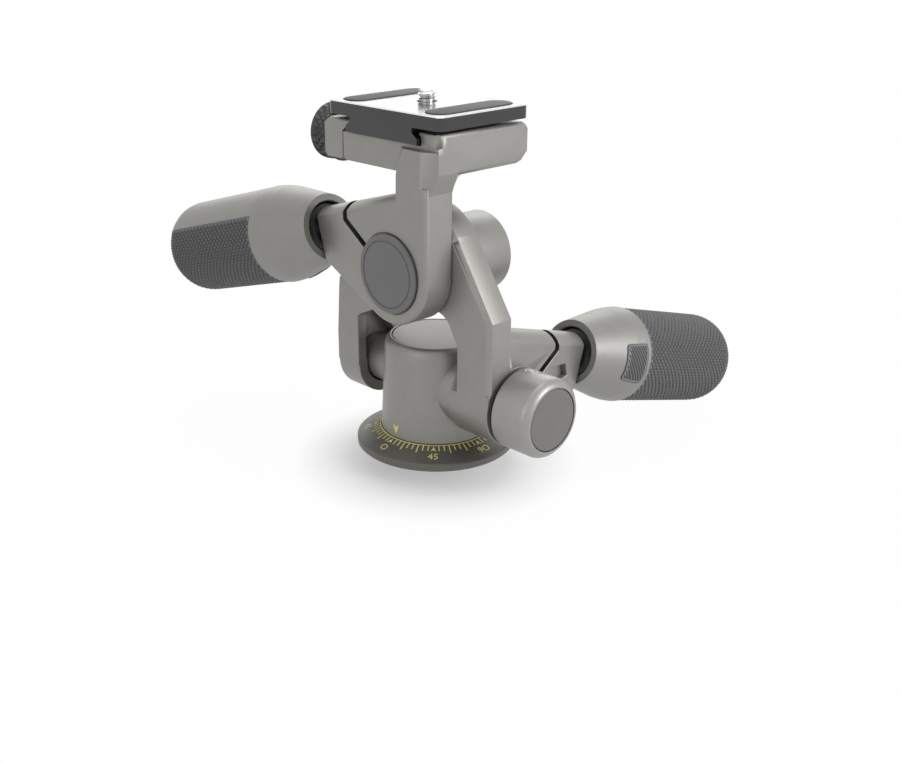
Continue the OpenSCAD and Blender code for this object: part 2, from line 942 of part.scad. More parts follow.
// cross-section of the moving jaw; its flank lies a gap off the dovetail's
module jaw_outline() {
  out = jaw_y + jaw_d;
  slope = (dove_foot - dove_neck) / (dove_top - dove_mid);
  foot = dove_y + dove_foot + gap * norm([1, slope]);
  nose = dove_mid + nose_up;
  polygon([[jaw_y + 1, body_z], [out - 1.4, body_z], [out, body_z + 1.4],
    [out, jaw_top - 2.2], [out - 3, jaw_top],
    [foot - slope * nose_up + nose_back, jaw_top],
    [foot - slope * nose_up, nose],
    [jaw_y, dove_mid - (jaw_y - foot) / slope], [jaw_y, body_z + 1]]);
}

module clamp_jaw() {
  color([0.62, 0.61, 0.59])
    difference() {
      intersection() {
        along_x(deck_x0, deck_x1 - deck_x0)
          jaw_outline();
        along_y(jaw_y - 10, jaw_d + 12)
          deck_front_outline(jaw_top);
      }
      rod_y(jaw_y - 1, jaw_d + 2, clamp_screw_r + run, clamp_x, clamp_z);
      for (x = guides)
        rod_y(jaw_y - 1, jaw_d - 0.5, guide_r + run, x, clamp_z);
    }
}

module clamp_knob() {
  color([0.35, 0.35, 0.35])
    translate([clamp_x, knob_y, clamp_z])
      rotate([-90, 0, 0])
        rotate_extrude()
          polygon([[clamp_screw_r, 0], [5.5, 0], [5.5, 0.8],
            [knob_r - 0.6, 0.8], [knob_r, 1.4], [knob_r, knob_l - 1.4],
            [knob_r - 1.4, knob_l], [6.6, knob_l], [6.1, knob_l - 0.6],
            [0, knob_l - 0.6], [0, knob_l - 3], [clamp_screw_r, knob_l - 3]]);
}

module clamp_screw() {
  color([0.7, 0.7, 0.7])
    rod_y(jaw_back - 12, knob_y + knob_l - 3 - jaw_back + 12,
      clamp_screw_r, clamp_x, clamp_z);
}

// ---- camera plate ----

module round_rect(w, l, r) {
  square([w - 2 * r, l], center = true);
  square([w, l - 2 * r], center = true);
  for (x = [-1, 1], y = [-1, 1])
    translate([x * (w / 2 - r), y * (l / 2 - r)])
      circle(r);
}

module dove_outline() {
  polygon([[dove_y - dove_foot, dove_z], [dove_y + dove_foot, dove_z],
    [dove_y + dove_foot, dove_mid], [dove_y + dove_neck, dove_top],
    [dove_y + dove_neck, slab_z + 1], [dove_y - dove_neck, slab_z + 1],
    [dove_y - dove_neck, dove_top], [dove_y - dove_foot, dove_mid]]);
}

module strip_places() {
  for (y = [-1, 1])
    translate([plate_x, plate_y + y * strip_off, plate_top - strip_sink])
      linear_extrude(strip_sink + strip_t) {
        square([strip_l - strip_w, strip_w], center = true);
        for (x = [-1, 1])
          translate([x * (strip_l - strip_w) / 2, 0])
            circle(strip_w / 2);
      }
}

module camera_plate() {
  color([0.80, 0.79, 0.78])
    difference() {
      union() {
        translate([plate_x, plate_y, slab_z])
          linear_extrude(plate_t)
            round_rect(plate_w, plate_l, 3);
        along_x(plate_x - plate_w / 2 + 0.4, plate_w - 0.8)
          dove_outline();
      }
      strip_places();
      // bore for the screw's neck, relief round its thread, pocket for its head
      translate([plate_x, plate_y, dove_z - eps])
        cylinder(r = neck_r + run, h = 20);
      translate([plate_x, plate_y, plate_top - relief])
        cylinder(r = screw_r + gap, h = relief + eps);
      translate([plate_x, plate_y, dove_z - eps])
        cylinder(r = head_r + gap, h = head_t + 2 * gap + eps);
    }
}

module plate_pads() {
  color([0.36, 0.36, 0.38])
    strip_places();
}

module camera_screw() {
  color([0.75, 0.75, 0.76])
    translate([plate_x, plate_y, dove_z + gap])
      difference() {
        union() {
          cylinder(r = head_r, h = head_t);
          cylinder(r = neck_r, h = plate_top - dove_z - gap + 1);
          translate([0, 0, plate_top - dove_z - gap])
            cylinder(r = screw_r, h = screw_up);
        }
        translate([-head_r - 1, -0.8, -eps])
          cube([2 * head_r + 2, 1.6, 1.2 + eps]);
      }
}

// ---- show ----

base_disc();
pan_spindle();
base_screws();
pan_nut();
column();
column_cap();
pan_friction_ring();
pan_washer();
front_trunnion();
rear_trunnion();
roll_stop_ring();
pan_brake_shoe();
pan_lock_knob();
pan_knob_disc();
pan_lock_stem();
yoke();
rear_bush();
rear_cap();
tilt_shaft();
tilt_retainer();
tilt_washer();
tilt_end_cap();
roll_handle_core();
roll_handle_sleeve();
roll_handle_patch();
roll_clamp_rod();
roll_clamp_collar();
bracket();
hub_disc();
jaw_guide_pins();
tilt_handle_core();
tilt_handle_sleeve();
tilt_handle_patch();
tilt_clamp_rod();
tilt_clamp_collar();
clamp_jaw();
clamp_knob();
clamp_screw();
camera_plate();
plate_pads();
camera_screw();
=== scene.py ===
"""Looks of a three way pan tilt head. Metres, Z up, the same frame as the CAD."""
import json
import math

import bmesh
import bpy
from mathutils import Matrix, Vector

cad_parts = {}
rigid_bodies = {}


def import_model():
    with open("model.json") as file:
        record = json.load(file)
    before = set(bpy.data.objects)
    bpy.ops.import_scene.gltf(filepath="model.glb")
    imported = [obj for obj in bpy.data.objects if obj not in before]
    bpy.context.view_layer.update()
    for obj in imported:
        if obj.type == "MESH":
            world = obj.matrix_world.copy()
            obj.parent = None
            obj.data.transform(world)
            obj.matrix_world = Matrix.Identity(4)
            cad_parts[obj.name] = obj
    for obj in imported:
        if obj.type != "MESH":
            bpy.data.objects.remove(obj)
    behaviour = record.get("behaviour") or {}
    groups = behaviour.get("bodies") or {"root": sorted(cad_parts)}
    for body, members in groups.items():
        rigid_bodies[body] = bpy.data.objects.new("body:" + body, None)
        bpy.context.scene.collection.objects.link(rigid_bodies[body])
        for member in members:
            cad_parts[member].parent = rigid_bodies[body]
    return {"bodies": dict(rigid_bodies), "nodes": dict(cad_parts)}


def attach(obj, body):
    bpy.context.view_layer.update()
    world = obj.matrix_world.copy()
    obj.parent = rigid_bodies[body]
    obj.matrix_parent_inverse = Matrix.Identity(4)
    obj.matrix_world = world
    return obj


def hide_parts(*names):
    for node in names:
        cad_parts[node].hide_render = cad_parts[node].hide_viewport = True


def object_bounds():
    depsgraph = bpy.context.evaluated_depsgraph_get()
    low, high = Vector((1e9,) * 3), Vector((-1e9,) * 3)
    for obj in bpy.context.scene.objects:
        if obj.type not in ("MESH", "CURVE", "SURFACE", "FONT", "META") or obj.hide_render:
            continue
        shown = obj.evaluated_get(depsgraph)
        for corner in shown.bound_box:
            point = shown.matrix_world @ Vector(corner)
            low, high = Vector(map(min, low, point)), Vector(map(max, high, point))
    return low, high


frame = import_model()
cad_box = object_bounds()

MM = 0.001
TURN = 2 * math.pi
TINY, CLOSE = 1e-7, 1e-6    # distances at which points count as one, metres
scene = bpy.context.scene


# ---- shader expressions ----

class Val:
    """A socket that takes part in arithmetic; each operator adds a Math node."""

    def __init__(self, tree, socket):
        self.tree = tree
        self.socket = socket

    def math(self, operation, *others):
        node = self.tree.nodes.new("ShaderNodeMath")
        node.operation = operation
        for slot, value in zip(node.inputs, (self,) + others):
            feed(self.tree, slot, value)
        return Val(self.tree, node.outputs[0])

    def __add__(self, o): return self.math("ADD", o)
    def __radd__(self, o): return self.math("ADD", o)
    def __sub__(self, o): return self.math("SUBTRACT", o)
    def __rsub__(self, o): return lift(self.tree, o).math("SUBTRACT", self)
    def __mul__(self, o): return self.math("MULTIPLY", o)
    def __rmul__(self, o): return self.math("MULTIPLY", o)
    def over(self, limit): return self.math("GREATER_THAN", limit)
    def least(self, limit): return self.math("MAXIMUM", limit)
    def most(self, limit): return self.math("MINIMUM", limit)
    def sin(self): return self.math("SINE")
    def root(self): return self.math("SQRT")


def feed(tree, slot, value):
    """Links a Val to a socket, or sets the socket to a plain value."""
    if isinstance(value, Val):
        tree.links.new(value.socket, slot)
    else:
        slot.default_value = value


def lift(tree, number):
    """A plain number as a Val."""
    node = tree.nodes.new("ShaderNodeMath")
    node.operation = "ADD"
    node.inputs[0].default_value = number
    node.inputs[1].default_value = 0.0
    return Val(tree, node.outputs[0])


class Finish:
    """One procedural material and the nodes that it is made of."""

    NOISE_ROUGHNESS = 0.55

    def __init__(self, name, **fixed):
        self.mat = bpy.data.materials.new(name)
        self.mat.use_nodes = True
        self.tree = self.mat.node_tree
        self.shader = self.tree.nodes["Principled BSDF"]
        for slot, value in fixed.items():
            self.shader.inputs[slot].default_value = value
        self.place = self.add("ShaderNodeTexCoord", out="Object")

    def add(self, kind, settings=(), inputs=(), out=0):
        node = self.tree.nodes.new(kind)
        for key, value in dict(settings).items():
            setattr(node, key, value)
        for key, value in dict(inputs).items():
            feed(self.tree, node.inputs[key], value)
        return Val(self.tree, node.outputs[out])

    def grain(self, size, detail):
        """Noise with features of about that size in metres."""
        return self.add("ShaderNodeTexNoise", inputs={
            "Vector": self.place, "Scale": 1.0 / size,
            "Detail": detail, "Roughness": self.NOISE_ROUGHNESS})

    def sides(self, vector):
        """The X, Y and Z of a vector."""
        node = self.add("ShaderNodeSeparateXYZ", inputs={0: vector}).socket.node
        return {k: Val(self.tree, node.outputs[k]) for k in "XYZ"}

    def between(self, factor, low, high):
        """A colour that goes from low to high with the factor."""
        node = self.tree.nodes.new("ShaderNodeMix")
        node.data_type = "RGBA"
        feed(self.tree, node.inputs["Factor"], factor)
        ends = {"A": low, "B": high}
        for slot in node.inputs:
            if slot.type == "RGBA":
                slot.default_value = (*ends[slot.name], 1.0)
        return Val(self.tree, [o for o in node.outputs if o.type == "RGBA"][0])

    def relief(self, height, depth, strength):
        """Bumps of that depth in metres where the height goes from 0 to 1."""
        node = self.tree.nodes.new("ShaderNodeBump")
        node.inputs["Strength"].default_value = strength
        node.inputs["Distance"].default_value = depth
        feed(self.tree, node.inputs["Height"], height)
        self.tree.links.new(node.outputs[0], self.shader.inputs["Normal"])

    def set(self, slot, value):
        feed(self.tree, self.shader.inputs[slot], value)


# ---- finishes: sizes and depths of their features in metres ----

PAINT_FLAKE, PAINT_CLOUD, PAINT_PEEL, PAINT_DEPTH = 0.00022, 0.006, 0.0009, 0.00003
METAL_FLAKE, METAL_DEPTH = 0.0012, 0.000012
RING_WAVE = 42000.0     # of the lathe rings, radians per metre
SKIN, BLOOM, SKIN_DEPTH = 0.00035, 0.008, 0.00004
SPECK, SPECK_DEPTH = 0.00030, 0.00001


def scaled(colour, k):
    return tuple(min(1.0, c * k) for c in colour)


def cast_paint(name, colour, metallic, rough):
    """Satin metallic paint on a casting: fine flake and a soft orange peel."""
    f = Finish(name, Metallic=metallic)
    flake = f.grain(PAINT_FLAKE, 3.0)
    cloud = f.grain(PAINT_CLOUD, 3.0)
    peel = f.grain(PAINT_PEEL, 1.0)
    f.set("Base Color", f.between(flake * 0.65 + cloud * 0.35,
                                  scaled(colour, 0.80), scaled(colour, 1.20)))
    f.set("Roughness", rough - 0.05 + 0.10 * flake)
    f.relief(flake * 0.7 + peel * 0.3, PAINT_DEPTH, 0.55)
    return f.mat


def turned_metal(name, colour, rough, axis="Y", centre=(0, 0, 0)):
    """Bare metal with the fine rings that a lathe tool leaves."""
    f = Finish(name, Metallic=1.0)
    sides = f.sides(f.add("ShaderNodeMapping", inputs={
        "Vector": f.place, "Location": [-c for c in centre]}))
    a, b = [sides[k] for k in "XYZ" if k != axis]
    rings = ((a * a + b * b).root() * RING_WAVE).sin()
    flake = f.grain(METAL_FLAKE, 3.0)
    f.set("Base Color", f.between(flake, scaled(colour, 0.88), scaled(colour, 1.10)))
    f.set("Roughness", rough + 0.08 * flake)
    f.relief(rings * 0.5 + flake * 0.5, METAL_DEPTH, 0.5)
    return f.mat


def rubber(name, colour, rough=0.62):
    """Moulded rubber with a matt skin, and painted shade that darkens it in the grooves
    that a piece marks.
    """
    f = Finish(name)
    skin = f.grain(SKIN, 4.0)
    bloom = f.grain(BLOOM, 2.0)
    groove = f.add("ShaderNodeAttribute", {"attribute_name": "groove"}, out="Fac")
    # painted shade: up to 95 % darker where the groove attribute is 1
    tone = (0.59 + (skin * 0.5 + bloom * 0.5) * 0.41) * (1.0 - groove * 0.95)
    f.set("Base Color", f.between(tone, scaled(colour, 0.22), scaled(colour, 1.26)))
    f.set("Roughness", rough + 0.14 * skin)
    f.relief(skin, SKIN_DEPTH, 0.6)
    return f.mat


def print_ink(name, colour):
    """Screen printed ink with a slightly broken edge of colour."""
    f = Finish(name)
    speck = f.grain(SPECK, 2.0)
    f.set("Base Color", f.between(speck, scaled(colour, 0.86), scaled(colour, 1.08)))
    f.set("Roughness", 0.52 + 0.10 * speck)
    f.relief(speck, SPECK_DEPTH, 0.4)
    return f.mat


ROLL_AXIS = (0, 0, 0.0252)
SCREW_AXIS = (-0.0042, 0.0002, 0)

casting = cast_paint("casting_paint", (0.272, 0.266, 0.250), 0.55, 0.42)
shell = cast_paint("handle_paint", (0.268, 0.263, 0.250), 0.55, 0.47)
knob_paint = cast_paint("knob_paint", (0.318, 0.312, 0.297), 0.60, 0.38)
dial_paint = cast_paint("dial_paint", (0.124, 0.118, 0.106), 0.30, 0.44)
cap_paint = cast_paint("cap_paint", (0.350, 0.336, 0.330), 0.05, 0.52)
insert_paint = cast_paint("insert_paint", (0.160, 0.156, 0.150), 0.30, 0.46)
cover_paint = cast_paint("cover_paint", (0.150, 0.145, 0.145), 0.30, 0.44)
grip_rubber = rubber("grip_rubber", (0.168, 0.168, 0.175))
pad_rubber = rubber("pad_rubber", (0.105, 0.100, 0.105), 0.70)
ink_yellow = print_ink("dial_ink", (0.860, 0.760, 0.260))
ink_white = print_ink("knob_ink", (0.800, 0.800, 0.790))
steel = turned_metal("turned_steel", (0.560, 0.560, 0.560), 0.28, centre=ROLL_AXIS)
dark_steel = turned_metal("black_steel", (0.110, 0.110, 0.112), 0.36)
bright_steel = turned_metal("plated_steel", (0.720, 0.720, 0.715), 0.24, axis="Z",
                            centre=SCREW_AXIS)
# Near black on the saw cuts' walls: painted shade for the dark deep inside the narrow
# cuts.
cut_painted_shade = cast_paint("saw_cut_painted_shade", (0.030, 0.029, 0.028), 0.2, 0.60)
knob_black = cast_paint("knob_black", (0.050, 0.050, 0.053), 0.55, 0.38)
brass = turned_metal("brass", (0.620, 0.450, 0.190), 0.32, centre=ROLL_AXIS)
nylon = rubber("nylon", (0.620, 0.610, 0.570), 0.42)
anodised = cast_paint("plate_anodising", (0.071, 0.069, 0.069), 0.9, 0.20)
edge_metal = cast_paint("cut_edge", (0.800, 0.800, 0.790), 1.0, 0.22)

FINISHES = {
    casting: ["column", "yoke", "bracket", "clamp_jaw", "rear_trunnion"],
    shell: ["roll_handle_core", "tilt_handle_core"],
    knob_paint: ["pan_lock_knob"],
    dial_paint: ["base_disc"],
    cap_paint: ["column_cap"],
    insert_paint: ["pan_knob_disc", "rear_cap", "tilt_end_cap"],
    cover_paint: ["hub_disc"],
    grip_rubber: ["roll_handle_sleeve", "tilt_handle_sleeve",
                  "roll_handle_patch", "tilt_handle_patch"],
    pad_rubber: ["plate_pads"],
    anodised: ["camera_plate"],
    brass: ["pan_brake_shoe", "rear_bush"],
    nylon: ["pan_friction_ring", "tilt_washer"],
    dark_steel: ["roll_stop_ring", "tilt_retainer", "base_screws", "clamp_knob",
                 "roll_clamp_collar", "tilt_clamp_collar"],
    steel: ["pan_spindle", "pan_nut", "pan_washer", "front_trunnion",
            "pan_lock_stem", "tilt_shaft", "roll_clamp_rod",
            "tilt_clamp_rod", "jaw_guide_pins", "clamp_screw", "camera_screw"],
}
for finish, names in FINISHES.items():
    for name in names:
        node = frame["nodes"][name]
        node.data.materials.clear()
        node.data.materials.append(finish)


# ---- making pieces ----

CRISP = 24.0        # edges that turn by more degrees than this aren't smoothed
FLAT = 0.6          # faces that turn by fewer degrees than this are one face
EDGE_BREAK = 0.28 * MM
BODY_OF = {name: body for body, empty in frame["bodies"].items()
           for name, node in frame["nodes"].items() if node.parent == empty}


def piece(name, bm, node, *finishes, angle=None, instead=True):
    """Closes a bmesh off as a piece on a node's body, in that node's stead.

    Edges that turn by more than the angle stay sharp. Without one, all do.
    """
    bmesh.ops.remove_doubles(bm, verts=bm.verts, dist=TINY)
    bmesh.ops.recalc_face_normals(bm, faces=bm.faces)
    mesh = bpy.data.meshes.new(name)
    bm.to_mesh(mesh)
    bm.free()
    if angle is None:
        mesh.shade_flat()
    else:
        mesh.shade_smooth()
        mesh.set_sharp_from_angle(angle=math.radians(angle))
    for finish in finishes:
        mesh.materials.append(finish)
    made = bpy.data.objects.new(name, mesh)
    scene.collection.objects.link(made)
    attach(made, BODY_OF[node])
    if instead:
        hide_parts(node)


def copy_of(node):
    """A CAD node's mesh with its loose triangles merged into plain faces."""
    bm = bmesh.new()
    bm.from_mesh(frame["nodes"][node].data)
    bmesh.ops.remove_doubles(bm, verts=bm.verts, dist=CLOSE)
    bmesh.ops.dissolve_limit(bm, angle_limit=math.radians(FLAT), verts=bm.verts,
                             edges=bm.edges, use_dissolve_boundaries=False)
    return bm


def outer_edges(bm, least=0.55 * MM, turn=30.0):
    """Edges where two faces meet at an outer corner."""
    return [e for e in bm.edges
            if len(e.link_faces) == 2 and e.is_convex
            and e.calc_length() > least
            and e.calc_face_angle(0.0) > math.radians(turn)]


def ease(bm, edges, width=EDGE_BREAK, segments=2, material=-1):
    """Breaks edges with a small bevel."""
    bmesh.ops.bevel(bm, geom=edges, offset=width, offset_type="OFFSET",
                    segments=segments, profile=0.5, affect="EDGES",
                    clamp_overlap=False, material=material)


def of_kind(geometry, kind):
    return [g for g in geometry if isinstance(g, kind)]


def slice_off(bm, at, normal, reach=TINY):
    """Cuts off what lies beyond a plane and closes the cut."""
    cut = bmesh.ops.bisect_plane(
        bm, geom=bm.verts[:] + bm.edges[:] + bm.faces[:], dist=reach,
        plane_co=at, plane_no=normal, clear_outer=True)
    bmesh.ops.holes_fill(bm, edges=of_kind(cut["geom_cut"], bmesh.types.BMEdge))


def thicken(bm, face, by):
    """Extrudes a face into a solid and returns the points of its far end."""
    grown = bmesh.ops.extrude_face_region(bm, geom=[face])
    moved = of_kind(grown["geom"], bmesh.types.BMVert)
    bmesh.ops.translate(bm, verts=moved, vec=by)
    return moved


def looped(bm, verts):
    """Edges from each point to the next and back to the first."""
    return [bm.edges.new((v, verts[(i + 1) % len(verts)]))
            for i, v in enumerate(verts)]


def turned(bm, profile, steps, arc=360.0, start=0.0, closed=True):
    """Spins a profile of (radius, height) about Z.

    A profile that isn't closed begins and ends on the axis.
    """
    whole = arc >= 360.0
    first = math.radians(start)
    verts = [bm.verts.new((r * math.cos(first), r * math.sin(first), z))
             for r, z in profile]
    if closed:
        rim = verts + looped(bm, verts)
    else:
        rim = verts + [bm.edges.new(pair) for pair in zip(verts, verts[1:])]
    if not whole:
        rim = rim + [bm.faces.new(verts)]
    bmesh.ops.spin(bm, geom=rim, cent=(0, 0, 0), axis=(0, 0, 1),
                   angle=math.radians(arc), steps=steps,
                   use_merge=whole, use_duplicate=False)


def join(bm, other):
    """Adds one bmesh to another and frees it."""
    mesh = bpy.data.meshes.new("join")
    other.to_mesh(mesh)
    other.free()
    bm.from_mesh(mesh)
    bpy.data.meshes.remove(mesh)


def in_mm(profile):
    return [(a * MM, b * MM) for a, b in profile]


def spun(axis, degrees):
    return Matrix.Rotation(math.radians(degrees), 4, axis)


def shift(x, y, z):
    return Matrix.Translation((x * MM, y * MM, z * MM))


def axes(x, y, z, at):
    """A place given by the directions of its three axes and its origin."""
    return Matrix(((x[0], y[0], z[0], at[0]), (x[1], y[1], z[1], at[1]),
                   (x[2], y[2], z[2], at[2]), (0, 0, 0, 1)))


def put(bm, place):
    bmesh.ops.transform(bm, matrix=place, verts=bm.verts)


def spun_piece(name, node, finish, profile, steps, place, angle=CRISP,
               closed=True, instead=True):
    """A piece that is one profile in millimetres, spun about its own axis."""
    bm = bmesh.new()
    turned(bm, in_mm(profile), steps, closed=closed)
    put(bm, place)
    piece(name, bm, node, finish, angle=angle, instead=instead)


def polar(vert):
    return math.hypot(vert.co.x, vert.co.y), math.atan2(vert.co.y, vert.co.x)


def sink(vert, depth):
    """Moves a point towards the Z axis."""
    vert.co -= Vector((vert.co.x, vert.co.y, 0)).normalized() * depth


def clamped(value):
    return min(1.0, max(0.0, value))


def stretch(points, step):
    """Adds points so that no side of a profile is longer than about step."""
    out = []
    for p, q in zip(points, points[1:]):
        n = max(1, round(math.dist(p, q) / step))
        out += [(p[0] + (q[0] - p[0]) * i / n, p[1] + (q[1] - p[1]) * i / n)
                for i in range(n)]
    return out + [points[-1]]


def arc_of(centre, radius, first, last, count):
    """Points along an arc, angles in degrees."""
    angles = [math.radians(first + (last - first) * i / count)
              for i in range(count + 1)]
    return [(centre[0] + radius * math.cos(a), centre[1] + radius * math.sin(a))
            for a in angles]


def row_of(profile, radius, height):
    """Which point of a profile a spun point came from, or None."""
    gaps = [abs(r - radius) + abs(z - height) for r, z in profile]
    least = min(gaps)
    return gaps.index(least) if least < 0.02 * MM else None


def knurl_points(bm, profile, last, steps, arc=360.0, start=0.0):
    """Every other point of a spun profile, between its first row and row last."""
    low = set()
    for v in bm.verts:
        r, a = polar(v)
        row = row_of(profile, r, v.co.z)
        if row is None or not 0 < row < last:
            continue
        column = round((a - math.radians(start)) % TURN / math.radians(arc) * steps)
        at_end = arc < 360.0 and not 0 < column < steps
        if (row + column) % 2 and not at_end:
            low.add(v)
    return low


def crossed(bm, low):
    """Splits each quad of a knurl along the groove between its low corners."""
    for face in list(bm.faces):
        corners = [v for v in face.verts if v in low]
        if len(face.verts) == 4 and len(corners) == 2:
            if not any(set(e.verts) == set(corners) for e in face.edges):
                bmesh.utils.face_split(face, *corners)


TOWARDS_FRONT = spun("X", 90)   # turns a spun shape's +Z to -Y
TOWARDS_LEFT = spun("Y", -90)   # and to -X
TOWARDS_REAR = spun("X", -90)
ROLL_Z, TILT_Y, TILT_Z = 25.2, -4.0, 70.5


# ---- twist handles: their own frame has the axis on +Z, the upper side on +X ----

DROOP, HANDLE_UP = 16.0, 18.25      # degrees below level; above the joint's axis
MOUTH_S, NECK_S, GRIP_END = 34.0 * MM, 60.3 * MM, 126.0 * MM
NECK_R, BAND_R, BAND_S = 12 * MM, 17.2 * MM, NECK_S - 7 * MM
NECK_SLOPE = (17.2 - 12.0) / (26.3 - 7.0)
BAND_RUN, BAND_RISE = 4, 0.7        # the band's step up to the grip, mm
GRIP_R, INNER_R, DOME = 18.05 * MM, 16.2 * MM, 11.85 * MM
GRIP_WALL, GRIP_FOOT = 1.85 * MM, NECK_S + 0.5 * MM
STRIP = 26.0                        # half the metal strip, degrees
GROOVE, PITCH = 0.62 * MM, 1.22 * MM
FADE_R, FADE_RUN = 8 * MM, 6 * MM   # the knurl fades out towards the end's centre
PLAIN_ROWS = 5
HANDLES = {     # where each handle stands, and the middle of its metal strip
    "tilt": (shift(-20.05, TILT_Y, TILT_Z) @ spun("X", -90 - DROOP)
             @ shift(0, -HANDLE_UP, 0) @ spun("Z", -90), -33.0),
    "roll": (shift(0, -32.0, ROLL_Z) @ spun("Y", 90 + DROOP)
             @ shift(-HANDLE_UP, 0, 0) @ spun("Z", 180), -91.5),
}


def knurled_sleeve(which, place, strip):
    """Rubber grip: diamond knurl over the barrel that fades on its round end."""
    start, arc = strip + STRIP, 360.0 - 2 * STRIP
    steps = round(math.radians(arc) * GRIP_R / PITCH)
    turn = (GRIP_R - DOME, GRIP_END - DOME)
    side = stretch([(GRIP_R, GRIP_FOOT), (GRIP_R, turn[1])], PITCH)
    outer = side + arc_of(turn, DOME, 0, 90, 18)[1:]
    inner = arc_of(turn, DOME - GRIP_WALL, 90, 0, 6) + [(INNER_R, GRIP_FOOT)]
    bm = bmesh.new()
    groove = bm.verts.layers.float.new("groove")
    turned(bm, outer + inner, steps, arc, start)
    low = knurl_points(bm, outer, len(outer) - PLAIN_ROWS, steps, arc, start)
    for v in low:
        fade = clamped((polar(v)[0] - FADE_R) / FADE_RUN)
        # painted shade on the knurl's low points, as strong as the knurl is deep there
        v[groove] = fade
        out = Vector((v.co.x, v.co.y, max(0.0, v.co.z - turn[1]))).normalized()
        v.co -= out * GROOVE * fade
    crossed(bm, low)
    put(bm, place)
    piece(f"{which}_grip", bm, f"{which}_handle_sleeve", grip_rubber)


def neck_radius(z):
    """Radius of the metal neck where the rubber tongue lies."""
    if z <= BAND_S:
        return NECK_R + NECK_SLOPE * (z - MOUTH_S)
    return BAND_R + BAND_RISE * min(BAND_RUN * MM, z - BAND_S) / BAND_RUN


def ribbed_tongue(which, place, strip):
    """Rubber tongue on the neck, with slanting ribs inside a plain rim."""
    spread, rows, columns = 25.0, 56, 84
    low, high = 47.9 * MM, NECK_S - 2 * MM
    proud, sunk, shelf, skirt = 0.35 * MM, 0.9 * MM, 0.25 * MM, 0.8 * MM
    pitch, depth, ramp = 1.10 * MM, 0.2 * MM, 0.3 * MM
    slant = (0.55, 0.83)        # of the ribs: round the neck, along it
    rim, corner = 0.8 * MM, 1.6 * MM
    heights = [low + (high - low) * i / rows for i in range(rows + 1)]
    profile = [(neck_radius(z) + proud, z) for z in heights]
    profile += [(neck_radius(z) - sunk, z) for z in (high, low)]
    bm = bmesh.new()
    groove = bm.verts.layers.float.new("groove")
    turned(bm, profile, columns, 2 * spread, strip + 180 - spread)
    middle = math.radians(strip + 180)
    for v in bm.verts:
        r, a = polar(v)
        if r < neck_radius(v.co.z) - depth:
            continue
        across = ((a - middle + math.pi) % TURN - math.pi) * r
        along = v.co.z
        side = math.radians(spread) * r - abs(across)
        end = min(along - low, high - along)
        edge = min(side, end)
        if side < corner and end < corner:
            edge = corner - math.hypot(corner - side, corner - end)
        wave = math.sin(TURN * (across * slant[0] - along * slant[1]) / pitch)
        inside = clamped((edge - rim) / ramp)
        # painted shade in the ribs' hollows, and full painted shade on the tongue's outer
        # edge and its sunk skirt
        v[groove] = inside * 0.5 * (1 - wave) if edge > shelf else 1.0
        sink(v, inside * depth * (1 - wave) + (skirt if edge < 0 else 0))
    put(bm, place)
    piece(f"{which}_tongue", bm, f"{which}_handle_patch", grip_rubber)


def toothed_collar(which, place):
    """Ring in the handle's mouth, its rim cut with fine teeth."""
    teeth, outer, inner, flat = 60, 9.3 * MM, 4.0 * MM, 2.2 * MM
    base, face, chamfer = 35.2 * MM, 46.0 * MM, 0.6 * MM
    tooth_reach, tooth_rise, tooth_sink = 1.4 * MM, 0.55 * MM, 0.35 * MM
    bm = bmesh.new()
    turned(bm, [(inner, base), (inner + flat, base), (outer - chamfer, base),
                (outer, base + chamfer), (outer, face), (inner, face)], teeth * 2)
    for v in bm.verts:
        r, a = polar(v)
        tooth = round(a % TURN / TURN * teeth * 2)
        if tooth % 2 and r > outer - tooth_reach and v.co.z < base + 1 * MM:
            v.co.z += tooth_rise
            sink(v, tooth_sink)
    put(bm, place)
    piece(f"{which}_mouth_ring", bm, f"{which}_clamp_collar", dark_steel)


def mouth_lip(which, place):
    """Inward lip that narrows the handle's mouth round its collar."""
    spun_piece(f"{which}_mouth_lip", f"{which}_handle_core", shell, (
        (9.45, 34.3), (9.8, 34.02), (10.6, 34.02), (10.6, 36.0), (9.45, 36.0)),
        96, place, instead=False)


for which, (place, strip) in HANDLES.items():
    mouth_lip(which, place)
    knurled_sleeve(which, place, strip)
    ribbed_tongue(which, place, strip)
    toothed_collar(which, place)


# ---- castings ----

# A clamp's saw cut: its middle line's top and bend lie so far along the handle's
# axis and off it, and its end so far across and up from the joint's axis, mm.
CUT_TOP, CUT_BEND, CUT_END = (15.8, 27.9), (17.6, 20.45), (6.4, 3.2)
CUT_HALF, CUT_HALF_SHOWN, CUT_MITRE = 0.6, 1.0, 0.3


